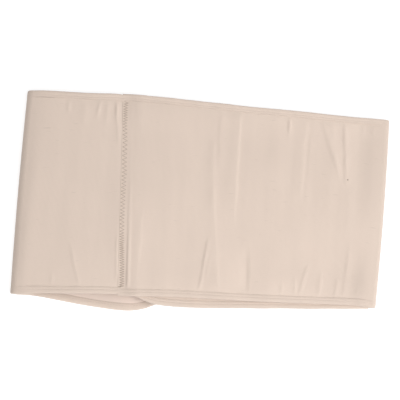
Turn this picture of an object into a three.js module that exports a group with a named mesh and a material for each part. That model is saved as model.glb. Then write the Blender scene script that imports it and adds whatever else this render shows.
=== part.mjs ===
// Abdominal binder: one long band of stretch knit with turned hems, wound into a tube and laid flat.
// Millimetres. +X runs round the waist, +Y up the body, and +Z away from the surface that it lies on.
import * as THREE from 'three';

// The tube as it lies
const FLAT_WIDTH = 372; // from the left fold to the right one
const BAND_HEIGHT = 200;
const OPEN_HEIGHT = 5.5; // clear height inside the tube, hem to hem
const PANEL_ARCH = 4.4; // how far the left panel bows up beside the flap
const FLAP_END = 98.4; // from the left fold to the sewn end of the flap
const HIDDEN_END = 8; // from the hidden end of the band to the right fold

// The cloth
const CLOTH = 1.5;
const LAP_GAP = 0.4; // between the hems of the flap and of the layer under it
const PLY_GAP = 0.3; // between the flap's cloth and the layer under it

// The turned hems along both edges
const HEM_DEPTH = 7;
const HEM_WALL = 0.95;
const HEM_CLEAR = 0.3; // between a hem and the edge of the band inside it
const EDGE_CLOTH = 0.8; // the band's edge, pressed thin inside the hem
const HEM_FALL = 16; // over which the cloth falls away from the hem

// The end of the flap, turned under before it was sewn down
const TURN_DEPTH = 9;
const TURN_RISE = 0.9;
const TURN_SLOPE = 2;

// Soft folds pressed into the front
const FOLD_WIDTH = 12;
const FOLD_HEIGHT = 1.6;
const FOLD_FADE = 0.06; // share of the height over which a fold runs out

// Spacing of the sections that the band is lofted through
const FLAP_STEP = 5;
const PANEL_STEP = 6;
const UNDER_STEP = 10;
const BACK_STEP = 18;
const FOLD_STEPS = 6; // sections round each side fold

// The sections of each layer. along is a share of FLAT_WIDTH from the left fold, rise a share of PANEL_ARCH,
// top and bottom are shares of BAND_HEIGHT from the middle, lean is how far across it slants for its height,
// and settle is 0 where the cloth is level with the outside of its hems and 1 where it lies at its own level.
const FLAP_SECTIONS = [
  { along: 0.25, rise: 0.8, top: 0.511, bottom: -0.5, lean: -0.031, settle: 1 },
  { along: 0.29, rise: 0.44, top: 0.5125, bottom: -0.5, lean: -0.028, settle: 1 },
  { along: 0.34, rise: 0.16, top: 0.5125, bottom: -0.496, lean: -0.018, settle: 1 },
  { along: 0.4, rise: 0, top: 0.5125, bottom: -0.4925, lean: -0.008, settle: 1 },
  { along: 0.47, rise: 0, top: 0.5095, bottom: -0.491, lean: 0, settle: 1 },
  { along: 0.61, rise: 0, top: 0.5045, bottom: -0.492, lean: 0.02, settle: 1 },
  { along: 0.75, rise: 0, top: 0.503, bottom: -0.489, lean: 0.04, settle: 1 },
  { along: 0.87, rise: -0.02, top: 0.4985, bottom: -0.485, lean: 0.056, settle: 0.9 },
  { along: 0.94, rise: -0.38, top: 0.501, bottom: -0.4845, lean: 0.063, settle: 0.4 },
  { along: 0.985, rise: -0.86, top: 0.505, bottom: -0.49, lean: 0.066, settle: 0 },
];
const PANEL_SECTIONS = [
  { along: 0.015, rise: 0.2, top: 0.492, bottom: -0.5165, lean: 0.01, settle: 0 },
  { along: 0.05, rise: 0.36, top: 0.497, bottom: -0.5115, lean: 0.008, settle: 0.4 },
  { along: 0.1, rise: 0.62, top: 0.4975, bottom: -0.506, lean: 0.004, settle: 1 },
  { along: 0.155, rise: 0.91, top: 0.499, bottom: -0.501, lean: -0.002, settle: 1 },
  { along: 0.21, rise: 1, top: 0.504, bottom: -0.496, lean: -0.014, settle: 1 },
  { along: 0.25, rise: 0.8, top: 0.509, bottom: -0.494, lean: -0.028, settle: 1 },
  { along: 0.29, rise: 0.44, top: 0.506, bottom: -0.4935, lean: -0.026, settle: 1 },
  { along: 0.315, rise: 0.28, top: 0.501, bottom: -0.498, lean: -0.02, settle: 1 },
  { along: 0.34, rise: 0.16, top: 0.493, bottom: -0.516, lean: -0.014, settle: 1 },
  { along: 0.365, rise: 0.06, top: 0.481, bottom: -0.5295, lean: -0.01, settle: 1 },
  { along: 0.4, rise: 0, top: 0.474, bottom: -0.536, lean: -0.006, settle: 1 },
  { along: 0.5, rise: 0, top: 0.473, bottom: -0.537, lean: 0.005, settle: 1 },
  { along: 0.63, rise: 0, top: 0.476, bottom: -0.5265, lean: 0.022, settle: 1 },
  { along: 0.77, rise: 0, top: 0.479, bottom: -0.5145, lean: 0.042, settle: 1 },
  { along: 0.87, rise: -0.02, top: 0.482, bottom: -0.5065, lean: 0.056, settle: 1 },
  { along: 0.94, rise: -0.38, top: 0.485, bottom: -0.499, lean: 0.063, settle: 1 },
  { along: 0.985, rise: -0.86, top: 0.487, bottom: -0.4935, lean: 0.066, settle: 1 },
];
const BACK_SECTIONS = [
  { along: 0.015, rise: 0, top: 0.492, bottom: -0.5165, lean: 0.01, settle: 0 },
  { along: 0.05, rise: 0, top: 0.488, bottom: -0.517, lean: 0.01, settle: 0 },
  { along: 0.085, rise: 0, top: 0.485, bottom: -0.5235, lean: 0.01, settle: 0 },
  { along: 0.13, rise: 0, top: 0.481, bottom: -0.5345, lean: 0.01, settle: 0 },
  { along: 0.18, rise: 0, top: 0.476, bottom: -0.5475, lean: 0.01, settle: 0 },
  { along: 0.23, rise: 0, top: 0.472, bottom: -0.5585, lean: 0.012, settle: 0 },
  { along: 0.28, rise: 0, top: 0.47, bottom: -0.5655, lean: 0.014, settle: 0 },
  { along: 0.32, rise: 0, top: 0.47, bottom: -0.566, lean: 0.016, settle: 0 },
  { along: 0.355, rise: 0, top: 0.472, bottom: -0.5525, lean: 0.018, settle: 0 },
  { along: 0.39, rise: 0, top: 0.474, bottom: -0.527, lean: 0.02, settle: 0 },
  { along: 0.45, rise: 0, top: 0.477, bottom: -0.5205, lean: 0.025, settle: 0 },
  { along: 0.65, rise: 0, top: 0.482, bottom: -0.5105, lean: 0.04, settle: 0 },
  { along: 0.85, rise: 0, top: 0.49, bottom: -0.4965, lean: 0.056, settle: 0 },
  { along: 0.985, rise: 0, top: 0.503, bottom: -0.49, lean: 0.066, settle: 0 },
];

// The main folds. along is a share of FLAT_WIDTH, from and to are shares of BAND_HEIGHT from the middle,
// width and height are shares of FOLD_WIDTH and FOLD_HEIGHT, and lean is how far across a fold goes for its rise.
const FOLDS = [
  { along: 0.247, from: 0.24, to: 0.46, width: 0.6, height: 1, lean: -0.118 },
  { along: 0.195, from: 0.36, to: 0.46, width: 0.6, height: 0.5, lean: 0.06 },
  { along: 0.154, from: -0.46, to: -0.28, width: 0.7, height: 0.6, lean: -0.27 },
  { along: 0.327, from: -0.38, to: -0.08, width: 0.7, height: 0.5, lean: 0.01 },
  { along: 0.497, from: -0.45, to: -0.2, width: 0.6, height: 0.8, lean: 0.13 },
  { along: 0.532, from: -0.44, to: 0.26, width: 1, height: 0.6, lean: -0.06 },
  { along: 0.578, from: -0.02, to: 0.46, width: 1.2, height: 0.8, lean: 0 },
  { along: 0.623, from: -0.45, to: -0.26, width: 0.8, height: 0.5, lean: -0.03 },
  { along: 0.768, from: 0.08, to: 0.44, width: 1.4, height: 0.7, lean: 0 },
  { along: 0.771, from: -0.46, to: -0.3, width: 0.7, height: 0.5, lean: 0.3 },
  { along: 0.82, from: -0.46, to: -0.34, width: 0.8, height: 0.5, lean: 0.08 },
  { along: 0.838, from: 0.18, to: 0.46, width: 0.9, height: 0.6, lean: -0.33 },
  { along: 0.891, from: 0.15, to: 0.46, width: 0.8, height: 1, lean: -0.04 },
  { along: 0.889, from: -0.46, to: -0.2, width: 0.7, height: 0.7, lean: 0.11 },
];

// Levels of the hems' middles, and how far each layer's cloth lies from them
const HEM_THICKNESS = EDGE_CLOTH + 2 * (HEM_CLEAR + HEM_WALL);
const BACK_LEVEL = HEM_THICKNESS / 2;
const PANEL_LEVEL = BACK_LEVEL + HEM_THICKNESS + OPEN_HEIGHT;
const FLAP_LEVEL = PANEL_LEVEL + HEM_THICKNESS + LAP_GAP;
const FLUSH = (HEM_THICKNESS - CLOTH) / 2;
const FLAP_SINK = PANEL_LEVEL + CLOTH + PLY_GAP - FLAP_LEVEL;

const KNIT = new THREE.MeshStandardMaterial({ color: 0xdfcabb, roughness: 0.92, metalness: 0 });
const HEM_KNIT = new THREE.MeshStandardMaterial({ color: 0xdac4b4, roughness: 0.92, metalness: 0 });

// Reads a layer's table at any place, with smooth curves through its rows
function sectionReader(rows) {
  const columns = Object.keys(rows[0]);
  const places = rows.map((row) => row.along);
  const values = rows.flatMap((row) => columns.map((column) => row[column]));
  const curve = new THREE.CubicInterpolant(places, values, columns.length);
  return (along) => {
    const found = curve.evaluate(along);
    return Object.fromEntries(columns.map((column, index) => [column, found[index]]));
  };
}

function placeOf(along) {
  return (along - 0.5) * FLAT_WIDTH;
}

// A section of the band's path: where its hems' middle is, which way is out of the tube, and its edges
function makeSection(x, z, out, row, sink, front) {
  return {
    x,
    z,
    out,
    sink,
    front,
    lean: row.lean,
    middle: ((row.top + row.bottom) / 2) * BAND_HEIGHT,
    stretch: row.top - row.bottom,
  };
}

// Sections of one layer from one place to another, both included
function layerRun(read, from, to, step, layer) {
  const count = Math.ceil(Math.abs(to - from) / step);
  const out = new THREE.Vector2(0, layer.side);
  return Array.from({ length: count + 1 }, (_, index) => {
    const x = THREE.MathUtils.lerp(from, to, index / count);
    const row = read(x / FLAT_WIDTH + 0.5);
    const sink = THREE.MathUtils.lerp(FLUSH, layer.sink, row.settle);
    return makeSection(x, layer.level + PANEL_ARCH * row.rise, out, row, sink, layer.front);
  });
}

// Sections round a side fold, between the layers that it joins
function sideFold(read, x, upper, lower, towards) {
  const radius = (upper - lower) / 2;
  const row = read(x / FLAT_WIDTH + 0.5);
  return Array.from({ length: FOLD_STEPS - 1 }, (_, index) => {
    const turned = (Math.PI * (index + 1)) / FOLD_STEPS;
    const out = new THREE.Vector2(towards * Math.sin(turned), towards * Math.cos(turned));
    return makeSection(x + radius * out.x, lower + radius * (1 + out.y), out, row, FLUSH, false);
  });
}

// The whole path, from the flap's sewn end over the front, underneath, round the left fold and under the flap
function bandPath() {
  const flap = { level: FLAP_LEVEL, side: 1, sink: FLAP_SINK, front: true };
  const back = { level: BACK_LEVEL, side: -1, sink: FLUSH, front: false };
  const panel = { level: PANEL_LEVEL, side: 1, sink: 0, front: true };
  const under = { level: PANEL_LEVEL, side: 1, sink: 0, front: false };
  const readFlap = sectionReader(FLAP_SECTIONS);
  const readBack = sectionReader(BACK_SECTIONS);
  const readPanel = sectionReader(PANEL_SECTIONS);

  const rightTop = FLAP_LEVEL + PANEL_ARCH * FLAP_SECTIONS.at(-1).rise;
  const leftTop = PANEL_LEVEL + PANEL_ARCH * PANEL_SECTIONS[0].rise;
  const right = FLAT_WIDTH / 2 - (rightTop - BACK_LEVEL) / 2 - HEM_THICKNESS / 2;
  const left = (leftTop - BACK_LEVEL) / 2 + HEM_THICKNESS / 2 - FLAT_WIDTH / 2;
  const sewnEnd = FLAP_END - FLAT_WIDTH / 2;
  const turnEnd = sewnEnd + TURN_DEPTH;
  const hiddenEnd = FLAT_WIDTH / 2 - HIDDEN_END;

  return [
    ...layerRun(readFlap, sewnEnd, turnEnd, TURN_DEPTH, flap).map((section) => ({ ...section, turned: 1 })),
    ...layerRun(readFlap, turnEnd + TURN_SLOPE, right, FLAP_STEP, flap),
    ...sideFold(readFlap, right, rightTop, BACK_LEVEL, 1),
    ...layerRun(readBack, right, left, BACK_STEP, back),
    ...sideFold(readPanel, left, leftTop, BACK_LEVEL, -1),
    ...layerRun(readPanel, left, sewnEnd, PANEL_STEP, panel),
    ...layerRun(readPanel, sewnEnd, hiddenEnd, UNDER_STEP, under).slice(1),
  ];
}

// Puts a point into the tube: across the band from its middle line, and out from the hems' middle
function placePoint(section, across, outward, point) {
  const y = section.middle + across * section.stretch;
  const x = section.x + section.out.x * outward + section.lean * y;
  return point.set(x, y, section.z + section.out.y * outward);
}

// How far the main folds lift the front's cloth there
function foldLift(section, across) {
  if (!section.front) {
    return 0;
  }
  const y = section.middle + across * section.stretch;
  const x = section.x + section.lean * y;
  return FOLDS.reduce((sum, fold) => {
    const share = y / BAND_HEIGHT;
    const crest = placeOf(fold.along) + fold.lean * (y - ((fold.from + fold.to) / 2) * BAND_HEIGHT);
    const away = (x - crest) / (fold.width * FOLD_WIDTH / 2);
    const fadeIn = THREE.MathUtils.smoothstep(share, fold.from - FOLD_FADE / 2, fold.from + FOLD_FADE / 2);
    const fadeOut = 1 - THREE.MathUtils.smoothstep(share, fold.to - FOLD_FADE / 2, fold.to + FOLD_FADE / 2);
    return sum + FOLD_HEIGHT * fold.height * Math.exp(-away * away) * fadeIn * fadeOut;
  }, 0);
}

// Rows of points up the band: its edges inside the hems, both sides of each hem's lip, and the open cloth
function bandRows() {
  const edge = BAND_HEIGHT / 2 - HEM_WALL - 3 * HEM_CLEAR;
  const inHem = BAND_HEIGHT / 2 - HEM_DEPTH;
  const outOfHem = inHem - 2 * CLOTH;
  const clothShares = [0.9, 0.72, 0.5, 0.25];
  const upper = [edge, inHem, outOfHem, ...clothShares.map((share) => share * outOfHem)];
  return [...upper.map((across) => -across), 0, ...upper.reverse()];
}

// The band's own cloth, a box of many cells bent along the path
function makeBand(path) {
  const rows = bandRows();
  const geometry = new THREE.BoxGeometry(1, 1, 1, path.length - 1, rows.length - 1, 1);
  const lip = BAND_HEIGHT / 2 - HEM_DEPTH;
  const points = geometry.attributes.position;
  const point = new THREE.Vector3();
  for (let index = 0; index < points.count; index += 1) {
    const section = path[Math.round((points.getX(index) + 0.5) * (path.length - 1))];
    const across = rows[Math.round((points.getY(index) + 0.5) * (rows.length - 1))];
    const outside = points.getZ(index) > 0;
    const clear = 1 - THREE.MathUtils.smoothstep(Math.abs(across), lip - HEM_FALL, lip - CLOTH);
    const wall = Math.abs(across) < lip - CLOTH ? CLOTH : EDGE_CLOTH;
    const turned = outside && section.turned && Math.abs(across) < lip - CLOTH ? TURN_RISE : 0;
    const middle = clear * (section.sink + foldLift(section, across));
    placePoint(section, across, middle + (outside ? wall / 2 : -wall / 2) + turned, point);
    points.setXYZ(index, point.x, point.y, point.z);
  }
  return geometry;
}

// A hem: the edge doubled over, closed along the outside, with the band's edge in its slot
function makeHem(path, edgeSide) {
  const outerEdge = BAND_HEIGHT / 2;
  const lip = outerEdge - HEM_DEPTH;
  const slotEnd = outerEdge - HEM_WALL;
  const half = HEM_THICKNESS / 2;
  const slot = half - HEM_WALL;
  const outline = [
    [lip, half], [outerEdge, half], [outerEdge, -half], [lip, -half],
    [lip, -slot], [slotEnd, -slot], [slotEnd, slot], [lip, slot],
  ];
  const shape = new THREE.Shape(outline.map(([across, out]) => new THREE.Vector2(edgeSide * across, out)));
  const steps = path.length - 1;
  const geometry = new THREE.ExtrudeGeometry(shape, { depth: 1, steps, bevelEnabled: false });
  const points = geometry.attributes.position;
  const point = new THREE.Vector3();
  for (let index = 0; index < points.count; index += 1) {
    const section = path[Math.round(points.getZ(index) * steps)];
    placePoint(section, points.getX(index), points.getY(index), point);
    points.setXYZ(index, point.x, point.y, point.z);
  }
  return geometry;
}

function addPiece(group, name, geometry, material) {
  geometry.computeVertexNormals();
  const mesh = new THREE.Mesh(geometry, material);
  mesh.name = name;
  group.add(mesh);
}

// Stands the binder on its underside, with the origin below the middle of its outline
function setOrigin(group) {
  const box = new THREE.Box3().setFromObject(group);
  const middle = box.getCenter(new THREE.Vector3());
  group.position.set(-middle.x, -middle.y, -box.min.z);
}

const binder = new THREE.Group();
const path = bandPath();
addPiece(binder, 'band', makeBand(path), KNIT);
addPiece(binder, 'top_hem', makeHem(path, 1), HEM_KNIT);
addPiece(binder, 'bottom_hem', makeHem(path, -1), HEM_KNIT);
setOrigin(binder);

export default binder;
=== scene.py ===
"""Looks of the abdominal binder: knit cloth, turned hems, hem stitching and the zigzag seam of the flap."""

import bisect
import copy
import math

import bmesh
import bpy
from mathutils import Matrix, Quaternion, Vector, noise


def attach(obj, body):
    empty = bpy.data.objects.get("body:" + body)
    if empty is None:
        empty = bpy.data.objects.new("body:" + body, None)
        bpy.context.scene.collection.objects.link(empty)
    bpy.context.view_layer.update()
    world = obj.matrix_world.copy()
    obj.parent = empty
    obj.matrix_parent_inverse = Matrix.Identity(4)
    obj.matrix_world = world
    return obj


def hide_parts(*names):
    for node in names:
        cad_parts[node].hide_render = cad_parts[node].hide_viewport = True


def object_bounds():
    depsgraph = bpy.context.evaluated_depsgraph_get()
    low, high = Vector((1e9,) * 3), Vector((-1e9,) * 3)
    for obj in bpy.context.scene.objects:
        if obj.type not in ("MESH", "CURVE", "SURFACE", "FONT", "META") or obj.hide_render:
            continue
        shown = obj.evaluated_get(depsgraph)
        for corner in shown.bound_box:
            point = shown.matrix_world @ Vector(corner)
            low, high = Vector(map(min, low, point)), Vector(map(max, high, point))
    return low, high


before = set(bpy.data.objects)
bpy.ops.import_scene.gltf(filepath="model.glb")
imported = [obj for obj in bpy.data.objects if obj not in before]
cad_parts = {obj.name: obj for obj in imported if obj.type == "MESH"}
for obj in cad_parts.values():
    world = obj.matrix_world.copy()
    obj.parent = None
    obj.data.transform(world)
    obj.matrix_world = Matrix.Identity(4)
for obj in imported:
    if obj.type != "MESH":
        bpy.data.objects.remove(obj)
cad_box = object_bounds()

MM = 0.001

# The tube as it lies, in millimetres, as the solids have it
FLAT_WIDTH = 372.0
BAND_HEIGHT = 200.0
OPEN_HEIGHT = 5.5
PANEL_ARCH = 4.4
FLAP_END = 98.4  # from the left fold
HIDDEN_END = 8.0  # from the right fold
HEM_THICKNESS = 3.3
HEM_DEPTH = 7.0
LAP_GAP = 0.4  # between the hems of the flap and the panel
SOLID_CLOTH = 1.5
PLY_GAP = 0.3  # between the cloth of the flap and the panel

HALF_HEIGHT = BAND_HEIGHT / 2
HEM_LIP = HALF_HEIGHT - HEM_DEPTH
SEWN_END = FLAP_END - FLAT_WIDTH / 2
BACK_LEVEL = HEM_THICKNESS / 2
PANEL_LEVEL = BACK_LEVEL + HEM_THICKNESS + OPEN_HEIGHT
FLAP_LEVEL = PANEL_LEVEL + HEM_THICKNESS + LAP_GAP
FLUSH = (HEM_THICKNESS - SOLID_CLOTH) / 2
FLAP_SINK = PANEL_LEVEL + SOLID_CLOTH + PLY_GAP - FLAP_LEVEL

# The cloth as it is shown, a little thinner than its solid so that its folds have room
CLOTH = 1.25
FLAP_FALL = 34.0  # over which the flap falls from its hems onto the layer under it
HEM_FALL = 18.0  # the same for the other layers
FALL_END = 1.0  # the fall starts this far inside a hem's lip
BACK_FLUSH = 0.12  # how far the back is level with its hems' outside where it enters them, 1 being wholly
BACK_FLUSH_REACH = 20.0  # distance from the folds, where it is 1, over which it changes to that

# The flap's sewn end, turned under and pressed down onto the panel
TURN_DEPTH = 9.0
TURN_RISE = 0.25
TURN_EDGE = (TURN_DEPTH - 1, TURN_DEPTH + 3)  # where the turned-under cloth ends
PRESS_REACH = 20.0  # over which the end is pressed down
PRESS_LEAST = 0.06  # share of its height that is left at the very end
PRESS_HEM = 0.04  # the same share at the hems
PRESS_CHANGE = (HEM_LIP - 2, HEM_LIP + 1)  # where one share changes into the other

# The folds bow out a little between the hems
RIGHT_BOW = 2.9
LEFT_BOW = -1.0
BOW_REACH = (90.0, 178.0)
RIGHT_BOW_LOSS = 0.5  # share of the bow that is gone at the hems
LEFT_BOW_LOSS = 0.95

# Spacing of the cloth's cells, in millimetres
SEAM_STEP = 0.7
SEAM_SIDE = 17.0  # how far the fine cells reach on the panel before the sewn end
SEAM_UNDER = 2.0  # and how far they go on under it
FRONT_STEP = 1.2
UNDER_STEP = 3.2
BACK_STEP = 4.4
ROW_STEP = 2.6
HEM_STEP = 1.0
FOLD_STEPS = 22

# Sections of each layer: along is a share of FLAT_WIDTH from the left fold, rise a share of PANEL_ARCH,
# top and bottom are shares of BAND_HEIGHT, lean is the slant across for the height. Settle is 1 where the
# cloth lies on the layer under it, and 0 where it is level with its hems' outside, as round the folds.
FLAP_SECTIONS = (
    (0.25, 0.8, 0.511, -0.5, -0.031, 1),
    (0.29, 0.44, 0.5125, -0.5, -0.028, 1),
    (0.34, 0.16, 0.5125, -0.496, -0.018, 1),
    (0.4, 0, 0.5125, -0.4925, -0.008, 1),
    (0.47, 0, 0.5095, -0.491, 0, 1),
    (0.61, 0, 0.5045, -0.492, 0.02, 1),
    (0.75, 0, 0.503, -0.489, 0.04, 1),
    (0.87, -0.02, 0.4985, -0.485, 0.056, 0.9),
    (0.94, -0.38, 0.501, -0.4845, 0.063, 0.4),
    (0.985, -0.86, 0.505, -0.49, 0.066, 0),
)
PANEL_SECTIONS = (
    (0.015, 0.2, 0.492, -0.5165, 0.01, 0),
    (0.05, 0.36, 0.497, -0.5115, 0.008, 0.4),
    (0.1, 0.62, 0.4975, -0.506, 0.004, 1),
    (0.155, 0.91, 0.499, -0.501, -0.002, 1),
    (0.21, 1, 0.504, -0.496, -0.014, 1),
    (0.25, 0.8, 0.509, -0.494, -0.028, 1),
    (0.29, 0.44, 0.506, -0.4935, -0.026, 1),
    (0.315, 0.28, 0.501, -0.498, -0.02, 1),
    (0.34, 0.16, 0.493, -0.516, -0.014, 1),
    (0.365, 0.06, 0.481, -0.5295, -0.01, 1),
    (0.4, 0, 0.474, -0.536, -0.006, 1),
    (0.5, 0, 0.473, -0.537, 0.005, 1),
    (0.63, 0, 0.476, -0.5265, 0.022, 1),
    (0.77, 0, 0.479, -0.5145, 0.042, 1),
    (0.87, -0.02, 0.482, -0.5065, 0.056, 1),
    (0.94, -0.38, 0.485, -0.499, 0.063, 1),
    (0.985, -0.86, 0.487, -0.4935, 0.066, 1),
)
BACK_SECTIONS = (
    (0.015, 0, 0.492, -0.5165, 0.01, 0),
    (0.05, 0, 0.488, -0.517, 0.01, 0),
    (0.085, 0, 0.485, -0.5235, 0.01, 0),
    (0.13, 0, 0.481, -0.5345, 0.01, 0),
    (0.18, 0, 0.476, -0.5475, 0.01, 0),
    (0.23, 0, 0.472, -0.5585, 0.012, 0),
    (0.28, 0, 0.47, -0.5655, 0.014, 0),
    (0.32, 0, 0.47, -0.566, 0.016, 0),
    (0.355, 0, 0.472, -0.5525, 0.018, 0),
    (0.39, 0, 0.474, -0.527, 0.02, 0),
    (0.45, 0, 0.477, -0.5205, 0.025, 0),
    (0.65, 0, 0.482, -0.5105, 0.04, 0),
    (0.85, 0, 0.49, -0.4965, 0.056, 0),
    (0.985, 0, 0.503, -0.49, 0.066, 0),
)

# Folds of the front: along as above, from and to as shares of BAND_HEIGHT, then the width and the height
# in millimetres, below 0 for a dip, the slant across for the height, and how steep the left side is against
# the right one.
FOLDS = (
    (0.2425, 0.38, 0.485, 4.0, 1.4, -0.06, 1.1),
    (0.2480, 0.26, 0.38, 5.0, 0.5, -0.09, 1.8),
    (0.2643, -0.41, -0.205, 3.0, 0.6, -0.057, 0.8),
    (0.194, 0.39, 0.478, 3.4, 0.8, 0.06, 1.0),
    (0.216, 0.36, 0.478, 7.0, 0.6, 0.04, 1.5),
    (0.114, 0.40, 0.478, 3.6, 0.6, 0.05, 1.0),
    (0.160, 0.34, 0.45, 9.0, 0.5, 0.0, 1.0),
    (0.158, -0.465, -0.28, 4.6, 0.75, -0.27, 2.0),
    (0.101, -0.475, -0.42, 3.2, 0.6, 0.05, 1.0),
    (0.3245, -0.36, -0.09, 18.0, 0.75, 0.04, 0.14),
    (0.513, -0.02, 0.30, 9.0, 0.7, -0.03, 0.7),
    (0.529, -0.47, 0.06, 13.0, 0.45, -0.09, 0.22),
    (0.4965, -0.465, -0.2, 5.4, 0.9, 0.14, 3.2),
    (0.512, -0.40, -0.26, 3.4, 0.35, 0.16, 1.0),
    (0.580, -0.03, 0.44, 30.0, 1.3, 0.02, 0.09),
    (0.529, 0.2, 0.46, 13.0, 0.5, 0.01, 4.0),
    (0.615, -0.465, -0.25, 11.0, -1.1, -0.02, 0.45),
    (0.7225, 0.385, 0.478, 2.8, 1.4, 0.0, 1.2),
    (0.764, 0.07, 0.45, 15.0, 0.8, 0.05, 0.35),
    (0.780, 0.05, 0.36, 9.0, 0.35, 0.05, 2.6),
    (0.839, 0.19, 0.475, 7.0, 0.85, -0.335, 2.2),
    (0.8815, 0.15, 0.468, 8.5, 1.05, -0.04, 3.4),
    (0.851, 0.2, 0.47, 12.0, 0.8, -0.1, 0.6),
    (0.936, 0.42, 0.478, 3.4, 0.9, 0.0, 0.6),
    (0.962, 0.42, 0.478, 3.4, 0.9, 0.0, 0.6),
    (0.889, -0.47, -0.21, 8.0, 0.7, 0.11, 2.6),
    (0.862, -0.47, -0.36, 5.0, 0.8, 0.12, 1.8),
    (0.820, -0.47, -0.34, 6.0, 0.8, 0.08, 0.4),
    (0.771, -0.465, -0.31, 5.0, 0.7, 0.30, 1.6),
    (0.751, -0.472, -0.38, 4.4, 0.6, 0.04, 0.4),
    (0.7135, -0.472, -0.40, 3.4, 0.7, 0.0, 0.8),
    (0.921, -0.472, -0.40, 3.8, 0.7, 0.0, 1.4),
    (0.891, -0.12, 0.12, 13.0, 0.6, 0.02, 1.2),
    (0.558, 0.16, 0.42, 26.0, 0.5, 0.0, 1.0),
    (0.7056, 0.2, 0.42, 32.0, 0.6, 0.0, 1.0),
    (0.93, 0.1, 0.42, 26.0, -0.3, 0.0, 1.0),
    (0.53, -0.42, -0.2, 28.0, 0.45, 0.0, 1.0),
    (0.705, -0.42, -0.2, 24.0, 0.4, 0.0, 1.0),
    (0.81, -0.42, -0.22, 20.0, 0.35, 0.05, 1.0),
)
FOLD_FADE = 0.06  # share of BAND_HEIGHT over which a fold's ends fade out
FOLD_WIDE = 7.0  # millimetres; wider folds fade out over a longer stretch
FOLD_END = 6.0  # millimetres over which a fold dies out into the hem
FOLD_MARGIN = 0.5  # it is gone this far before the hem's lip
FOLD_REACH = 3.0  # half widths from the crest beyond which nothing is left of it
FOLD_MEAN = 0.9

# Unevenness, as smooth noise. Rows: amount, wavelengths in the two directions, and place in the noise.
CREST_WANDER = ((0.9, 17, 1 / 40, 2.2),)
FOLD_UNEVEN = ((0.3, 14, 1 / 70, 5.8),)
SLOW_WAVES = ((0.42, 26, 210, 3.1), (0.45, 60, 160, 7.7), (0.13, 9, 55, 1.3))
HEM_PULL = ((0.28, 23, 0.2, 0.4), (0.1, 6, 1, 9.2))
HEM_LIFT = ((0.1, 15, 0.5, 4.4),)
ZIGZAG_PITCH = ((0.3, 1, 1, 6.1),)
ZIGZAG_PULL = ((0.5, 3, 1, 0.7),)
PITCH_LINE, PULL_LINE = 0.3, 4.2  # the lines of the noise that the zigzag follows
WAVE_LOWEST = -0.4  # depth of the slow waves' troughs
PANEL_CALM = 12.0  # over which the panel's waves die out before the flap's end

# Painted shade and light on the front: darker and lighter patches in the knit's colour, standing in for how
# light falls across it. Rows: middle along and up the band, reach along and up, all shares as above, and
# the change
FRONT_PAINTED_SHADE_AND_LIGHT = (
    (0.245, -0.10, 0.055, 0.5, -0.058),
    (0.34, 0.05, 0.045, 0.6, -0.034),
    (0.03, 0.1, 0.025, 0.45, -0.05),
    (0.76, 0.45, 0.2, 0.05, 0.03),
    (0.675, 0.30, 0.022, 0.09, -0.04),
    (0.555, 0.10, 0.014, 0.28, -0.036),
    (0.93, -0.37, 0.022, 0.1, -0.066),
    (0.945, 0.10, 0.035, 0.26, -0.06),
    (0.455, -0.25, 0.035, 0.17, -0.04),
    (0.59, -0.38, 0.035, 0.09, 0.034),
    (0.73, -0.42, 0.06, 0.06, 0.034),
    (0.018, -0.3, 0.014, 0.35, -0.1),
    (0.02, 0.3, 0.013, 0.35, -0.045),
    (0.955, 0.34, 0.042, 0.2, -0.043),
    (0.948, -0.37, 0.027, 0.14, -0.075),
    (0.99, 0.1, 0.008, 0.6, -0.02),
)
# Painted light on the back: paler where its inside shows below the front, standing in for light in the
# shaded opening
BACK_PAINTED_LIGHT = (
    (0.21, -0.545, 0.11, 0.03, 0.065),
    (0.325, -0.535, 0.028, 0.03, 0.13),
)

# Relief of the flap's outer face at its sewn end, beside the zigzag: distance from the end and height, in
# millimetres. A groove runs along the needle row, and the turned-under edge stands up beyond it.
SEAM_RELIEF = (
    (0.0, 0.0), (6.4, 0.0), (7.2, 0.04), (7.8, -0.12), (8.7, 0.5), (10.2, 0.72), (12.4, 0.08), (15.0, 0.0),
)
# The relief's share, up the body
SEAM_LEVELS = ((-0.47, 1.35), (-0.27, 1.25), (-0.14, 0.7), (0.0, 0.5), (0.12, 0.1), (0.47, 0.0))
RELIEF_END = (HEM_LIP - 4, HEM_LIP - 1)  # across the band, where it dies out into the hems

# Profile of a hem, from its lip to the outer fold: distance from the edge and height, in millimetres
HEM_PROFILE = (
    (7.0, 0.64), (6.85, 0.9), (6.6, 1.06), (6.3, 0.86), (6.0, 1.08), (5.3, 1.16), (4.6, 1.2), (4.3, 1.0),
    (4.0, 1.24), (3.1, 1.42), (2.4, 1.54), (1.5, 1.55), (0.7, 1.42), (0.25, 1.02), (0.04, 0.4),
)
HEM_HEIGHT = sorted(HEM_PROFILE[:-1])
HEM_FACE = 1.6  # height of a hem's face where the band turns round a fold
HEM_FACE_FROM = 2.0  # distance from the edge where the rounded fold gives way to the face
HEM_INNER_FACE = 0.85  # height of the inner face towards its lip
INNER_LIP = 5.6  # distance from the edge where the inner face starts to come down to the cloth
INNER_COVER = 0.02  # what is left of the hem over the cloth at its lip
SLOT_END = 2.0  # distance from the edge to the end of the slot that holds the cloth
SLOT_POINT = 0.5  # length of its pointed end
SLOT_MOUTH = 6.9  # distance from the edge to the slot's mouth
SLOT_PLAY = 0.01  # between the slot and the cloth's faces
SLOT_TURN = 3.0  # distance from the edge where the cloth starts to leave the hem's middle
CLOTH_EDGE = HALF_HEIGHT - SLOT_END - 0.2  # the cloth ends just short of the slot's end
HEM_UV_START = -100.0  # where the knit's pattern starts on a hem, up the body
WELD = 0.0005  # points nearer than this are joined

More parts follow.
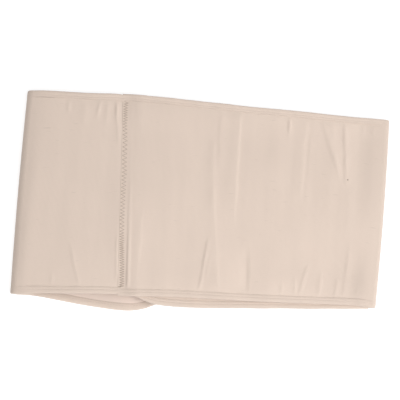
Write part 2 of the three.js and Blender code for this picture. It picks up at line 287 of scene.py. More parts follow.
# Hem stitching
STITCH_ROWS = (6.3, 4.3)  # distance of the two needle rows from the edge
STITCH_PITCH = 2.9
STITCH_LENGTH = 2.3
STITCH_START = 0.1  # share of the pitch before each stitch
STITCH_DIP = 0.04  # depth of the dip at a stitch
DIP_WIDTH = 0.7  # half width of the dip along a needle row
DIP_FROM = 0.7  # height from which a place is on a face of the hem and not in its slot
THREAD = 0.32  # diameter
THREAD_SINK = 0.05  # of the thread's middle below the hem's face
THREAD_SIDES = 6
THREAD_FLATNESS = 0.75
THREAD_MIDDLE = 1e-6  # points this near its middle stay there
THREAD_ORDER = (1.0, 0.37, 0.061)  # direction along which its points and faces are put in order

# Zigzag: share of the height, distance of its two sides from the sewn end, and pitch, in millimetres
ZIGZAG = (
    (-0.475, 1.9, 6.3, 2.3),
    (-0.35, 1.5, 6.1, 2.3),
    (-0.25, 0.8, 5.2, 2.0),
    (-0.17, 0.5, 4.8, 3.4),
    (-0.05, 0.7, 4.9, 3.6),
    (0.05, 1.1, 5.7, 3.8),
    (0.2, 1.0, 6.0, 4.1),
    (0.32, 0.9, 5.4, 3.9),
    (0.36, 1.0, 4.9, 2.8),
    (0.475, 1.7, 5.2, 2.6),
)
ZIGZAG_LEG = 5.1  # length of thread from side to side of the zigzag
ZIGZAG_MARGINS = (1.6, 1.2)  # from the lower hem and from the upper one
ZIGZAG_REACH = 20.0  # distance from the sewn end that holds all of the seam
SEAM_THREAD = 0.5  # diameter of the zigzag's textured thread
SEAM_THREAD_SINK = 0.04  # of its middle below the cloth's face

# Thread that closes the seam at its lower end: across and up from there
BAR_STITCHES = ((1.4, 0.6), (1.6, 1.5), (1.9, 2.4))
BAR_HALF = (1.0, 0.65, 0.0)  # from its middle to its end

# Camera, fitted to the photograph: degrees, millimetres
CAMERA_AZIMUTH = -45.0
CAMERA_ELEVATION = 76.5
CAMERA_ROLL = 48.34
CAMERA_DISTANCE = 961.4
CAMERA_TARGET = (-5.0, 2.37, 0.0)
CAMERA_LENS = 85.0

# Lights: place and size in metres, and power
LAMPS = (
    ("key softbox", (1.2, -0.5, 1.65), 1.3, 24.0),
    ("overhead softbox", (-0.04, -0.38, 0.82), 0.55, 3.1),
    ("side softbox", (1.3, 0.1, 0.45), 0.7, 2.4),
)
WHITE = (1.0, 1.0, 1.0, 1.0)
ROOM_LIGHT = 0.47
FLOOR_SIZE = 4000.0
FLOOR_DROP = -0.2  # level of the floor, just below the lowest thread
FLOOR_COLOUR = (0.42, 0.42, 0.42, 1.0)
FLOOR_GLOW = 0.7

KNIT_COLOUR = (0.63, 0.52, 0.445)
# The inside of the band is a lighter copy of the knit: painted light for the shade inside the tube, where
# it shows below the front
INNER_LIT_COLOUR = (0.685, 0.565, 0.495)
THREAD_COLOUR = (0.585, 0.478, 0.405)
# the zigzag's thread is darker than its own beige: partly its real colour, partly painted shade of the
# groove that the stitches press into the cloth
SEAM_THREAD_AND_SHADE_COLOUR = (0.40, 0.315, 0.255)
HEM_SHADE = 0.985  # the hems' knit against the band's
SHADOW, LIT = 0.8, 1.2  # darkest and lightest tone of a colour

# The knit's pattern: pitches of ribs and courses in metres, then scales along and up in the piece's UV
RIB = 1.15 * MM
COURSE = 0.62 * MM
RIB_WANDER = 0.0012
WANDER_SCALE = 60.0
SLUB_SCALE = (260.0, 900.0, 1.0)
DASH_SCALE = (75.0, 430.0, 1.0)
STREAK_SCALE = (52.0, 6.0, 1.0)
CLOUD_SCALE = 14.0
DASH_FROM = 0.7  # noise above this makes a short dark dash
# What each gives to the tone, and to the bump
RIB_TONE, COURSE_TONE, SLUB_TONE, CLOUD_TONE = 0.02, 0.015, 0.1, 0.15
# the last weight puts the painted shade and light given on each vertex into the colour
DASH_TONE, STREAK_TONE, PAINTED_LIGHT_TONE = 2.0, 0.28, 2.5
RIB_BUMP, COURSE_BUMP, SLUB_BUMP = 0.5, 0.35, 0.6
KNIT_BUMP = {"Strength": 0.35, "Distance": 0.00012}
THREAD_BUMP = {"Strength": 0.4, "Distance": 0.0001}
TWIST_SCALE = 900.0

# A dark fleck caught in the knit of the flap: place from the middle and size in millimetres
SPECK = (143.2, 31.5)
SPECK_SIZE = 1.1
SPECK_COLOUR = (0.12, 0.08, 0.06, 1.0)


def lerp(a, b, t):
    return a + (b - a) * t


def smooth(low, high, value):
    t = min(max((value - low) / (high - low), 0.0), 1.0)
    return t * t * (3 - 2 * t)


def uneven(rows, along, up):
    """Sum of smooth noises at a place."""
    return sum(
        amount * noise.noise(Vector((along / wide, up / high, seed)))
        for amount, wide, high, seed in rows
    )


def curve_through(rows):
    """A smooth curve through rows of (place, value, ...): a function from a place to its values."""
    places = [row[0] for row in rows]
    values = [row[1:] for row in rows]
    count = len(rows)

    def slope(index, column):
        before, after = max(index - 1, 0), min(index + 1, count - 1)
        return (values[after][column] - values[before][column]) / (places[after] - places[before])

    def read(place):
        index = min(max(bisect.bisect_right(places, place) - 1, 0), count - 2)
        span = places[index + 1] - places[index]
        t = min(max((place - places[index]) / span, 0.0), 1.0)
        found = []
        for column in range(len(values[0])):
            a, b = values[index][column], values[index + 1][column]
            ma, mb = slope(index, column) * span, slope(index + 1, column) * span
            found.append(
                (2 * t**3 - 3 * t**2 + 1) * a + (t**3 - 2 * t**2 + t) * ma
                + (3 * t**2 - 2 * t**3) * b + (t**3 - t**2) * mb
            )
        return found

    return read


read_relief = curve_through(SEAM_RELIEF)
read_relief_share = curve_through(SEAM_LEVELS)
read_zigzag = curve_through(ZIGZAG)


class Section:
    """One place along the band: its hems' middle, the way out of the tube, and its edges there."""

    def __init__(self, x, z, out, row, sink, layer):
        self.x, self.z, self.out = x, z, out
        self.sink, self.layer = sink, layer
        rise, top, bottom, self.lean, settle = row
        self.flush = 1 - settle
        self.middle = (top + bottom) / 2 * BAND_HEIGHT
        self.stretch = top - bottom
        self.arc = 0.0

    def y_at(self, across):
        return self.middle + across * self.stretch

    def place(self, across, outward):
        """The point at a distance across the band from its middle, and outward from its hems' middle."""
        y = self.y_at(across)
        height = (2 * y / BAND_HEIGHT) ** 2
        bow = RIGHT_BOW * smooth(*BOW_REACH, self.x) * (1 - RIGHT_BOW_LOSS * height)
        bow += LEFT_BOW * smooth(*BOW_REACH, -self.x) * (1 - LEFT_BOW_LOSS * height)
        x = self.x + self.out[0] * outward + self.lean * y + bow
        return Vector((x, y, self.z + self.out[1] * outward))


def layer_run(read, start, end, step, level, side, settled, layer):
    """The sections of one layer, at most a step apart."""
    count = math.ceil(abs(end - start) / step)
    sections = []
    for index in range(count + 1):
        x = lerp(start, end, index / count)
        row = read(x / FLAT_WIDTH + 0.5)
        sink = lerp(FLUSH, settled, row[4])
        sections.append(Section(x, level + PANEL_ARCH * row[0], (0.0, side), row, sink, layer))
    return sections


def back_run(read, right, left):
    """The back, whose cloth lies level with its hems' outside only beside the folds."""
    sections = layer_run(read, right, left, BACK_STEP, BACK_LEVEL, -1, FLUSH, "back")
    for section in sections:
        away = min(right - section.x, section.x - left)
        section.flush = lerp(1.0, BACK_FLUSH, smooth(0.0, BACK_FLUSH_REACH, away))
    return sections


def side_fold(read, x, upper, towards, layer):
    """The half turn between an upper layer and the back, to the right (1) or to the left (-1)."""
    radius = (upper - BACK_LEVEL) / 2
    row = read(x / FLAT_WIDTH + 0.5)
    sections = []
    for index in range(1, FOLD_STEPS):
        turned = math.pi * index / FOLD_STEPS
        out = (towards * math.sin(turned), towards * math.cos(turned))
        z = BACK_LEVEL + radius * (1 + out[1])
        sections.append(Section(x + radius * out[0], z, out, row, FLUSH, layer))
    return sections


def band_path():
    """The band from the flap's sewn end over the front, underneath, over the left and under the flap."""
    read_flap = curve_through(FLAP_SECTIONS)
    read_back = curve_through(BACK_SECTIONS)
    read_panel = curve_through(PANEL_SECTIONS)
    right_top = FLAP_LEVEL + PANEL_ARCH * FLAP_SECTIONS[-1][1]
    left_top = PANEL_LEVEL + PANEL_ARCH * PANEL_SECTIONS[0][1]
    right = FLAT_WIDTH / 2 - (right_top - BACK_LEVEL) / 2 - HEM_THICKNESS / 2
    left = (left_top - BACK_LEVEL) / 2 + HEM_THICKNESS / 2 - FLAT_WIDTH / 2
    seam_side = SEWN_END + SEAM_RELIEF[-1][0]
    covered, under = SEWN_END + SEAM_UNDER, SEWN_END + 2 * TURN_DEPTH
    hidden = FLAT_WIDTH / 2 - HIDDEN_END
    flap, panel = (FLAP_LEVEL, 1, FLAP_SINK, "flap"), (PANEL_LEVEL, 1, 0.0, "panel")
    path = [
        *layer_run(read_flap, SEWN_END, seam_side, SEAM_STEP, *flap),
        *layer_run(read_flap, seam_side, right, FRONT_STEP, *flap)[1:],
        *side_fold(read_flap, right, right_top, 1, "right fold"),
        *back_run(read_back, right, left),
        *side_fold(read_panel, left, left_top, -1, "left fold"),
        *layer_run(read_panel, left, SEWN_END - SEAM_SIDE, FRONT_STEP, *panel),
        *layer_run(read_panel, SEWN_END - SEAM_SIDE, covered, SEAM_STEP, *panel)[1:],
        *layer_run(read_panel, covered, under, UNDER_STEP, *panel)[1:],
        *layer_run(read_panel, under, hidden, UNDER_STEP, PANEL_LEVEL, 1, 0.0, "under")[1:],
    ]
    for before, after in zip(path, path[1:]):
        after.arc = before.arc + math.hypot(after.x - before.x, after.z - before.z)
    return path


def between(before, after, t):
    """A section part of the way from one to the next."""
    section = copy.copy(before)
    for key in ("x", "z", "sink", "flush", "lean", "middle", "stretch", "arc"):
        setattr(section, key, lerp(getattr(before, key), getattr(after, key), t))
    out = Vector(before.out).lerp(Vector(after.out), t).normalized()
    section.out = (out.x, out.y)
    return section


def refined(path, step):
    """The same path with sections added, so that neighbours are at most a step apart."""
    fine = [path[0]]
    for before, after in zip(path, path[1:]):
        parts = math.ceil((after.arc - before.arc) / step)
        for part in range(1, parts + 1):
            fine.append(between(before, after, part / parts))
    return fine


def section_at(path, arc):
    """The section at a length along the band."""
    index = bisect.bisect_right(path, arc, key=lambda section: section.arc) - 1
    index = min(max(index, 0), len(path) - 2)
    before, after = path[index], path[index + 1]
    return between(before, after, (arc - before.arc) / (after.arc - before.arc))


def middle_shift(path):
    """The move that brings the middle of the path's outline to the middle of the solids' box."""
    corners = [
        section.place(across, outward)
        for section in path
        for across in (-HALF_HEIGHT, HALF_HEIGHT)
        for outward in (-HEM_THICKNESS / 2, HEM_THICKNESS / 2)
    ]
    low, high = (Vector(map(limit, zip(*corners))) for limit in (min, max))
    middle = (cad_box[0] + cad_box[1]) / 2 / MM
    return Vector((middle.x - (low.x + high.x) / 2, middle.y - (low.y + high.y) / 2, 0.0))


def fold_lift(x, y):
    """Height of the pressed-in folds of the front at a point of the plan."""
    share = y / BAND_HEIGHT
    lift = 0.0
    for along, low, high, width, height, lean, steep in FOLDS:
        fade = FOLD_FADE * max(1.0, width / FOLD_WIDE)
        if low - fade < share < high + fade:
            crest = (along - 0.5) * FLAT_WIDTH + lean * (y - (low + high) / 2 * BAND_HEIGHT)
            crest += uneven(CREST_WANDER, y, along)
            away = (x - crest) / (width / 2)
            away *= max(steep, 1.0) if away < 0 else max(1 / steep, 1.0)
            if abs(away) < FOLD_REACH:
                ends = smooth(low - fade / 2, low + fade / 2, share)
                ends *= 1 - smooth(high - fade / 2, high + fade / 2, share)
                full = height * (FOLD_MEAN + uneven(FOLD_UNEVEN, y, along))
                lift += full * math.exp(-away * away) * ends
    return lift


def painted_shade_and_light(section, across):
    """Painted shade and light at a place of the front or the back, put into the knit's colour, fading out
    round the folds.
    """
    facing = section.out[1]
    if section.layer == "under":
        return 0.0
    y = section.y_at(across)
    along = section.x / FLAT_WIDTH + 0.5
    tone = 0.0
    for place, up, wide, high, change in FRONT_PAINTED_SHADE_AND_LIGHT if facing > 0 else BACK_PAINTED_LIGHT:
        tone += change * math.exp(-(((along - place) / wide) ** 2) - ((y / BAND_HEIGHT - up) / high) ** 2)
    return tone * abs(facing)


def flap_distance(section):
    """Distance from the flap's sewn end, for sections of the flap."""
    return section.x - SEWN_END if section.layer == "flap" else math.inf


def seam_relief(section, across):
    """Height that the seam adds to the flap's outer face beside its sewn end."""
    away = flap_distance(section)
    if away > SEAM_RELIEF[-1][0]:
        return 0.0
    share = read_relief_share(section.y_at(across) / BAND_HEIGHT)[0]
    return share * read_relief(away)[0] * (1 - smooth(*RELIEF_END, abs(across)))


def level_face(away, height, flush):
    """Outer face of a hem, made level with the cloth where the band turns round a fold."""
    return lerp(height, HEM_FACE, flush) if away > HEM_FACE_FROM and height > 0 else height


def hem_height(away, flush=0.0):
    """Height of a hem's outer face at a distance from the edge, or of the cloth beyond it."""
    if away >= HEM_DEPTH:
        return CLOTH / 2
    places = [place for place, _ in HEM_HEIGHT]
    index = min(max(bisect.bisect_right(places, away) - 1, 0), len(places) - 2)
    (a, low), (b, high) = HEM_HEIGHT[index], HEM_HEIGHT[index + 1]
    return level_face(away, lerp(low, high, min(max((away - a) / (b - a), 0.0), 1.0)), flush)


def inner_face(away, height, flush):
    """Inner face of a hem: plain, and thinner towards its lip."""
    if away < HEM_FACE_FROM:
        return height
    plain = lerp(-HEM_FACE, -HEM_INNER_FACE, (away - HEM_FACE_FROM) / (HEM_DEPTH - HEM_FACE_FROM))
    cloth = FLUSH * flush - CLOTH / 2 - INNER_COVER
    return lerp(plain, cloth, smooth(INNER_LIP, HEM_DEPTH, away))


def slot_shift(away, flush):
    """The cloth leaves its hem towards the outer face where the two are level."""
    return FLUSH * flush * smooth(SLOT_TURN, HEM_DEPTH, away)


def pressed(section, across, outward):
    """The flap's sewn end lies pressed on the panel: the height that is left there."""
    away = flap_distance(section)
    if away > PRESS_REACH:
        return outward
    under = hem_height(HALF_HEIGHT - abs(across)) - HEM_THICKNESS - LAP_GAP
    least = lerp(PRESS_LEAST, PRESS_HEM, smooth(*PRESS_CHANGE, abs(across)))
    return under + (outward - under) * lerp(least, 1.0, smooth(0.0, PRESS_REACH, away))


def cloth_middle(section, across):
    """Height of the cloth's middle from the hems' middle."""
    fall = FLAP_FALL if section.layer == "flap" else HEM_FALL
    clear = 1 - smooth(HEM_LIP - fall, HEM_LIP - FALL_END, abs(across)) * (1 - section.flush)
    near = 1 - smooth(HEM_LIP - FOLD_END, HEM_LIP - FOLD_MARGIN, abs(across))
    height = clear * section.sink
    away = HALF_HEIGHT - abs(across)
    if away < HEM_DEPTH:
        height = slot_shift(away, section.flush)
    y = section.y_at(across)
    x = section.x + section.lean * y
    if section.layer in ("flap", "panel"):
        height += near * fold_lift(x, y)
        room = 1.0 if section.layer == "flap" else smooth(0.0, PANEL_CALM, SEWN_END - section.x)
        height += clear * room * max(uneven(SLOW_WAVES, x, y), WAVE_LOWEST)
    elif section.layer == "under":
        height += near * min(fold_lift(x, y), 0.0)
    return height


def cloth_face(section, across, face):
    """Height of the outer (1) or inner (-1) face of the cloth."""
    outward = cloth_middle(section, across) + face * CLOTH / 2
    away = flap_distance(section)
    if face > 0 and away < TURN_EDGE[1] and abs(across) < HEM_LIP - FALL_END:
        outward += TURN_RISE * (1 - smooth(*TURN_EDGE, away))
    relief = seam_relief(section, across) if face > 0 else 0.0
    return pressed(section, across, outward) + relief


def cloth_rows():
    """Distances across the band of the cloth's rows of vertices, with closer ones at its hems."""
    inside = HEM_LIP - FALL_END
    count = round(2 * inside / ROW_STEP)
    rows = [lerp(-inside, inside, index / count) for index in range(count + 1)]
    edge = [HEM_LIP, HEM_LIP + FALL_END, CLOTH_EDGE]
    return [*(-across for across in reversed(edge)), *rows, *edge]


def hem_outline():
    """The hem's closed outline, as distance from the edge and height: outer face, inner face and slot."""
    outer = list(HEM_PROFILE)
    inner = [(away, -height) for away, height in reversed(HEM_PROFILE)]
    half = CLOTH / 2 + SLOT_PLAY
    point = SLOT_END + SLOT_POINT
    slot = [(SLOT_MOUTH, -half), (point, -half), (SLOT_END, 0.0), (point, half), (SLOT_MOUTH, half)]
    return outer + inner + slot


def finish_mesh(bm, name, material, shift):
    """Writes a bmesh in millimetres as a smooth-shaded piece in metres, at its place in the frame."""
    for vert in bm.verts:
        vert.co = (vert.co + shift) * MM
    mesh = bpy.data.meshes.new(name)
    bm.to_mesh(mesh)
    bm.free()
    mesh.materials.append(material)
    mesh.polygons.foreach_set("use_smooth", [True] * len(mesh.polygons))
    piece = bpy.data.objects.new(name, mesh)
    bpy.context.scene.collection.objects.link(piece)
    return piece


def grid_cells(bm, columns, rows):
    """A grid whose vertices know their column and row."""
    # painted shade and light for each vertex
    bm.verts.layers.float.new("tone")
    for name in ("column", "row", "inner"):
        bm.verts.layers.int.new(name)
    column_of, row_of, inner_of = (bm.verts.layers.int[name] for name in ("column", "row", "inner"))
    made = bmesh.ops.create_grid(bm, x_segments=columns, y_segments=rows, size=1.0)["verts"]
    for vert in made:
        vert[column_of] = round((vert.co.x + 1) / 2 * columns)
        vert[row_of] = round((vert.co.y + 1) / 2 * rows)
    return column_of, row_of, inner_of


def write_cloth_uv(bm, column_of, row_of, path, heights):
    """UV in metres along the band and up it, so that the knit runs with the cloth."""
    uv = bm.loops.layers.uv.new("knit")
    for face in bm.faces:
        for loop in face.loops:
            loop[uv].uv = (path[loop.vert[column_of]].arc * MM, heights[loop.vert[row_of]] * MM)


def make_band(path, material, inner_material, shift):
    """The cloth: a grid for each face, bent along the path and closed round the edges."""
    rows = cloth_rows()
    bm = bmesh.new()
    column_of, row_of, inner_of = grid_cells(bm, len(path) - 1, len(rows) - 1)
    painted_light_of = bm.verts.layers.float["tone"]
    inside = bmesh.ops.duplicate(bm, geom=bm.verts[:] + bm.edges[:] + bm.faces[:])["geom"]
    for vert in (item for item in inside if isinstance(item, bmesh.types.BMVert)):
        vert[inner_of] = 1
    bmesh.ops.reverse_faces(bm, faces=[item for item in inside if isinstance(item, bmesh.types.BMFace)])
    for vert in bm.verts:
        section, across = path[vert[column_of]], rows[vert[row_of]]
        # painted shade and light at this place of the cloth
        vert[painted_light_of] = painted_shade_and_light(section, across)
        vert.co = section.place(across, cloth_face(section, across, -1 if vert[inner_of] else 1))
    for face in bm.faces:
        face.material_index = face.verts[0][inner_of]
    bmesh.ops.bridge_loops(bm, edges=[edge for edge in bm.edges if edge.is_boundary])
    bmesh.ops.recalc_face_normals(bm, faces=bm.faces[:])
    write_cloth_uv(bm, column_of, row_of, path, rows)
    piece = finish_mesh(bm, "band_cloth", material, shift)
    piece.data.materials.append(inner_material)
    return piece


def hem_place(section, side, away, height):
    """Place across a hem and height there, with the small puckers of a sewn edge."""
    free = 1 - away / HEM_DEPTH
    across = side * (HALF_HEIGHT - away + uneven(HEM_PULL, section.arc, side) * free)
    return across, pressed(section, across, height + uneven(HEM_LIFT, section.arc, side) * free)


def make_hem(path, side, name, material, shift):
    """A hem: its outline swept along the band's edge, with a dip at each stitch of the two rows."""
    outline = hem_outline()
    bm = bmesh.new()
    column_of, row_of, _ = grid_cells(bm, len(path) - 1, len(outline))
    painted_light_of = bm.verts.layers.float["tone"]
    for vert in bm.verts:
        section = path[vert[column_of]]
        away, height = outline[vert[row_of] % len(outline)]
        if vert[row_of] < len(HEM_PROFILE):
            height = level_face(away, height, section.flush)
        elif vert[row_of] < 2 * len(HEM_PROFILE):
            height = inner_face(away, height, section.flush)
        else:
            height += slot_shift(away, section.flush)
        stitch = 0.5 + 0.5 * math.cos(2 * math.pi * section.arc / STITCH_PITCH)
        near_row = max(math.exp(-(((away - row) / DIP_WIDTH) ** 2)) for row in STITCH_ROWS)
        if abs(height) > DIP_FROM:
            height -= math.copysign(STITCH_DIP * near_row * stitch, height)
        across, outward = hem_place(section, side, away, height)
        # painted shade and light at this place of the hem
        vert[painted_light_of] = painted_shade_and_light(section, across)
        vert.co = section.place(across, outward)
    bmesh.ops.remove_doubles(bm, verts=bm.verts[:], dist=WELD)
    bmesh.ops.holes_fill(bm, edges=[edge for edge in bm.edges if edge.is_boundary])
    bmesh.ops.recalc_face_normals(bm, faces=bm.faces[:])
    lengths = [0.0]
    for (a, b), (c, d) in zip(outline, outline[1:] + outline[:1]):
        lengths.append(lengths[-1] + math.hypot(c - a, d - b))
    write_cloth_uv(bm, column_of, row_of, path, [length + HEM_UV_START for length in lengths])
    return finish_mesh(bm, name, material, shift)


def thread_capsule(length, radius):
    """One short length of thread, lying along X, with round ends, and the same order of faces each run."""
    bm = bmesh.new()
    bmesh.ops.create_uvsphere(bm, u_segments=THREAD_SIDES, v_segments=THREAD_SIDES, radius=radius)
    bmesh.ops.rotate(bm, verts=bm.verts[:], matrix=Matrix.Rotation(math.pi / 2, 3, "Y"))
    for vert in bm.verts:
        if abs(vert.co.x) > THREAD_MIDDLE:
            vert.co.x += math.copysign(length / 2 - radius, vert.co.x)
        vert.co.z *= THREAD_FLATNESS
    order = Vector(THREAD_ORDER)
    bm.verts.sort(key=lambda vert: order.dot(vert.co))
    bm.faces.sort(key=lambda face: order.dot(face.calc_center_median()))
    mesh = bpy.data.meshes.new("thread")
    bm.to_mesh(mesh)
    bm.free()
    return mesh


def place_threads(name, capsule, places, material, shift):
    """Copies of a length of thread, each from a start to an end with a way up, joined into one piece."""
    bm = bmesh.new()
    for start, end, up in places:
        first = len(bm.verts)
        bm.from_mesh(capsule)
        bm.verts.ensure_lookup_table()
        along = (end - start).normalized()
        side = up.cross(along).normalized()
        turn = Matrix((along, side, along.cross(side))).transposed()
        middle = (start + end) / 2
        for index in range(first, len(bm.verts)):
            bm.verts[index].co = turn @ bm.verts[index].co + middle
    return finish_mesh(bm, name, material, shift)


def hem_stitches(path, side):
    """Places of the two rows of stitches on both faces of a hem."""
    places = []
    shares = (STITCH_START, STITCH_START + STITCH_LENGTH / STITCH_PITCH)
    for index in range(int(path[-1].arc / STITCH_PITCH)):
        ends = [section_at(path, (index + share) * STITCH_PITCH) for share in shares]
        for row in STITCH_ROWS:
            for face in (1, -1):
                points = []
                for section in ends:
                    height = hem_height(row, section.flush) - THREAD_SINK
                    if face < 0:
                        height = inner_face(row, -hem_height(row), section.flush) + THREAD_SINK
                    points.append(section.place(*hem_place(section, side, row, height)))
                up = Vector((ends[0].out[0], 0, ends[0].out[1])) * face
                places.append((*points, up))
    return places


def seam_point(path, away, y):
    """A point on top of the flap, at a distance from its sewn end and at a height up the body."""
    section = section_at(path, away)
    across = (y - section.middle) / section.stretch
    return section.place(across, cloth_face(section, across, 1) - SEAM_THREAD_SINK)


def zigzag_places(path):
    """Stitches of the seam, from side to side of the zigzag, from the lower hem to the upper one."""
    places = []
    near = [section for section in path if section.arc < ZIGZAG_REACH]
    lower, upper = near[0].y_at(-HEM_LIP), near[0].y_at(HEM_LIP)
    up = Vector((0, 0, 1))
    y, side = lower + ZIGZAG_MARGINS[0], 0
    while y < upper - ZIGZAG_MARGINS[1]:
        *sides, pitch = read_zigzag(y / BAND_HEIGHT)
        pitch *= 1 + uneven(ZIGZAG_PITCH, y, PITCH_LINE)
        pull = uneven(ZIGZAG_PULL, y, PULL_LINE)
        start = seam_point(near, sides[side] + pull, y)
        end = seam_point(near, sides[1 - side] + pull, y + pitch / 2)
        places.append((start, end, up))
        y, side = y + pitch / 2, 1 - side
    for away, rise in BAR_STITCHES:
        middle = seam_point(near, away, lower + rise)
        places.append((middle - Vector(BAR_HALF), middle + Vector(BAR_HALF), up))
    return places


class Socket:
    """A shader value: the usual operators on it add Math nodes."""

    def __init__(self, nodes, socket):
        self.nodes, self.socket = nodes, socket

    def math(self, operation, *others):
        return self.nodes.math(operation, self, *others)

    def __add__(self, other):
        return self.math("ADD", other)

    def __mul__(self, other):
        return self.math("MULTIPLY", other)

    def __sub__(self, other):
        return self.math("SUBTRACT", other)

    def __rsub__(self, other):
        return self.nodes.math("SUBTRACT", other, self)

    def __truediv__(self, other):
        return self.math("DIVIDE", other)

    def __rtruediv__(self, other):
        return self.nodes.math("DIVIDE", other, self)

    __radd__ = __add__
    __rmul__ = __mul__


class Shader:
    """A material's nodes, added by one method."""

    def __init__(self, name):
        self.material = bpy.data.materials.new(name)
        self.material.use_nodes = True
        self.tree = self.material.node_tree
        self.surface = self.tree.nodes["Principled BSDF"]

    def add(self, kind, settings, inputs=(), output=0):
        node = self.tree.nodes.new(kind)
        for key, value in settings.items():
            setattr(node, key, value)
        pairs = inputs.items() if isinstance(inputs, dict) else enumerate(inputs)
        for key, value in pairs:
            self.feed(node.inputs[key], value)
        return Socket(self, node.outputs[output])

    def feed(self, target, value):
        if isinstance(value, Socket):
            self.tree.links.new(value.socket, target)
        else:
            target.default_value = value

    def set(self, **values):
        for key, value in values.items():
            self.feed(self.surface.inputs[key.replace("_", " ")], value)

    def math(self, operation, *values):
        return self.add("ShaderNodeMath", {"operation": operation}, values)

    def mix(self, factor, a, b):
        """A colour between two colours."""
        return self.add("ShaderNodeMix", {"data_type": "RGBA"}, {0: factor, 6: a, 7: b}, 2)

    def noise(self, vector, scale, detail):
        return self.add("ShaderNodeTexNoise", {}, {"Vector": vector, "Scale": scale, "Detail": detail})

    def stretched_noise(self, vector, scales, detail):
        """Noise with its own scale in each direction."""
        stretched = self.add("ShaderNodeMapping", {}, {"Vector": vector, "Scale": scales})
        return self.noise(stretched, 1.0, detail)

    def bump(self, settings, height):
        return self.add("ShaderNodeBump", {}, {**settings, "Height": height})


def toned(colour, share):
    """A colour made darker or lighter, with its alpha."""
    return tuple(min(part * share, 1.0) for part in colour) + (1.0,)


def knit_material(name, colour, speck=None):
    """Fine ribbed elastic knit: ribs up the band, courses along it, slubs, a little unevenness, and the
    painted shade and light given on each vertex.
    """
    shader = Shader(name)
    uv = shader.add("ShaderNodeUVMap", {"uv_map": "knit"})
    u, v = (shader.add("ShaderNodeSeparateXYZ", {}, (uv,), axis) for axis in (0, 1))
    wander = (shader.noise(uv, WANDER_SCALE, 3.0) - 0.5) * RIB_WANDER
    ribs = ((u + wander) * (2 * math.pi / RIB)).math("SINE")
    courses = ((v + wander * 0.5) * (2 * math.pi / COURSE)).math("SINE")
    slub = shader.stretched_noise(uv, SLUB_SCALE, 2.0)
    cloud = shader.noise(uv, CLOUD_SCALE, 3.0)
    dash = (shader.stretched_noise(uv, DASH_SCALE, 1.0) - DASH_FROM).math("MAXIMUM", 0.0)
    streak = shader.stretched_noise(uv, STREAK_SCALE, 2.0)
    # painted shade and light, given on each vertex of the front and the back
    painted_light = shader.add("ShaderNodeAttribute", {"attribute_name": "tone"}, (), 2)
    shade = ribs * RIB_TONE + courses * COURSE_TONE + (slub - 0.5) * SLUB_TONE
    shade = shade + (cloud - 0.5) * CLOUD_TONE + 0.5 - dash * DASH_TONE
    shade = shade + (streak - 0.5) * STREAK_TONE + painted_light * PAINTED_LIGHT_TONE
    tone = shader.mix(shade, toned(colour, SHADOW), toned(colour, LIT))
    if speck:
        near = shader.add("ShaderNodeVectorMath", {"operation": "DISTANCE"}, (uv, (*speck, 0.0)), 1)
        spot = 1 - (near / (SPECK_SIZE * MM)).math("MINIMUM", 1.0)
        tone = shader.mix(spot, tone, SPECK_COLOUR)
    bump = shader.bump(KNIT_BUMP, ribs * RIB_BUMP + courses * COURSE_BUMP + slub * SLUB_BUMP)
    shader.set(Base_Color=tone, Normal=bump, Roughness=0.9)
    shader.set(Sheen_Weight=0.25, Sheen_Roughness=0.5, Specular_IOR_Level=0.25)
    return shader.material


def thread_material(name, colour):
    """Spun polyester thread: twisted plies along its length."""
    shader = Shader(name)
    place = shader.add("ShaderNodeTexCoord", {}, (), 3)
    twist = shader.noise(place, TWIST_SCALE, 2.0)
    tone = shader.mix(twist, toned(colour, SHADOW), toned(colour, 1.0))
    bump = shader.bump(THREAD_BUMP, twist)
    shader.set(Base_Color=tone, Normal=bump, Roughness=0.6, Sheen_Weight=0.1)
    return shader.material


def make_floor():
    bm = bmesh.new()
    bmesh.ops.create_grid(bm, x_segments=1, y_segments=1, size=FLOOR_SIZE)
    shader = Shader("pale floor")
    shader.set(Base_Color=FLOOR_COLOUR, Roughness=0.9, Specular_IOR_Level=0.1)
    shader.set(Emission_Color=WHITE, Emission_Strength=FLOOR_GLOW)
    floor = finish_mesh(bm, "floor", shader.material, Vector((0, 0, FLOOR_DROP)))


def make_camera(shift):
    azimuth, elevation = math.radians(CAMERA_AZIMUTH), math.radians(CAMERA_ELEVATION)
    level = math.cos(elevation)
    back = Vector((math.sin(azimuth) * level, -math.cos(azimuth) * level, math.sin(elevation)))
    target = (Vector(CAMERA_TARGET) + shift) * MM
    data = bpy.data.cameras.new("camera")
    data.lens = CAMERA_LENS
    camera = bpy.data.objects.new("camera", data)
    camera.location = target + back * CAMERA_DISTANCE * MM
    upright = (-back).to_track_quat("-Z", "Y")
    camera.rotation_mode = "QUATERNION"
    camera.rotation_quaternion = upright @ Quaternion((0, 0, 1), math.radians(CAMERA_ROLL))
    bpy.context.scene.collection.objects.link(camera)
    bpy.context.scene.camera = camera


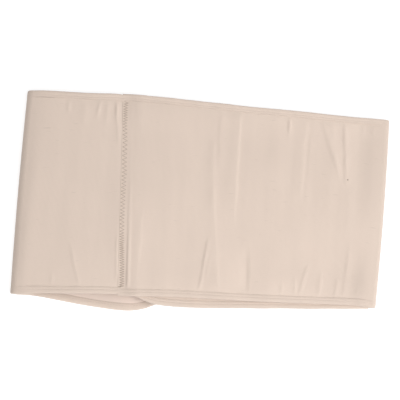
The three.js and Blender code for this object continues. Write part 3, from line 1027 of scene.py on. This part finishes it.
def make_light(name, place, size, power):
    data = bpy.data.lights.new(name, "AREA")
    data.size, data.energy = size, power
    lamp = bpy.data.objects.new(name, data)
    lamp.location = place
    lamp.rotation_mode = "QUATERNION"
    lamp.rotation_quaternion = (-Vector(place)).to_track_quat("-Z", "Y")
    bpy.context.scene.collection.objects.link(lamp)


def make_studio():
    world = bpy.data.worlds.new("studio")
    world.use_nodes = True
    world.node_tree.nodes["Background"].inputs["Color"].default_value = WHITE
    world.node_tree.nodes["Background"].inputs["Strength"].default_value = ROOM_LIGHT
    bpy.context.scene.world = world
    for lamp in LAMPS:
        make_light(*lamp)
    bpy.context.scene.view_settings.view_transform = "Standard"


def show_binder():
    path = band_path()
    shift = middle_shift(path)

    speck = ((SPECK[0] - FLAP_END + FLAT_WIDTH / 2) * MM, SPECK[1] * MM)
    knit = knit_material("elastic knit", KNIT_COLOUR, speck)
    hem_knit = knit_material("hem knit", tuple(part * HEM_SHADE for part in KNIT_COLOUR))
    thread = thread_material("sewing thread", THREAD_COLOUR)
    # thread darkened with painted shade of the zigzag's groove
    seam_thread = thread_material("zigzag thread", SEAM_THREAD_AND_SHADE_COLOUR)
    # the inside gets the lighter copy of the knit, painted light for its shade
    inner_knit = knit_material("inner knit painted lighter", INNER_LIT_COLOUR)

    band = make_band(path, knit, inner_knit, shift)
    fine = refined(path, HEM_STEP)
    hems = [
        make_hem(fine, 1, "top_hem_cloth", hem_knit, shift),
        make_hem(fine, -1, "bottom_hem_cloth", hem_knit, shift),
    ]
    stitch = thread_capsule(STITCH_LENGTH, THREAD / 2)
    rows = [
        place_threads("top_hem_stitches", stitch, hem_stitches(fine, 1), thread, shift),
        place_threads("bottom_hem_stitches", stitch, hem_stitches(fine, -1), thread, shift),
    ]
    leg = thread_capsule(ZIGZAG_LEG, SEAM_THREAD / 2)
    seam = place_threads("flap_zigzag", leg, zigzag_places(path), seam_thread, shift)

    for piece in (band, *hems, *rows, seam):
        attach(piece, "root")
    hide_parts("band")
    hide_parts("top_hem")
    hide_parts("bottom_hem")
    length = path[-1].arc * MM
    return shift


shift = show_binder()
make_floor()
make_camera(shift)
make_studio()
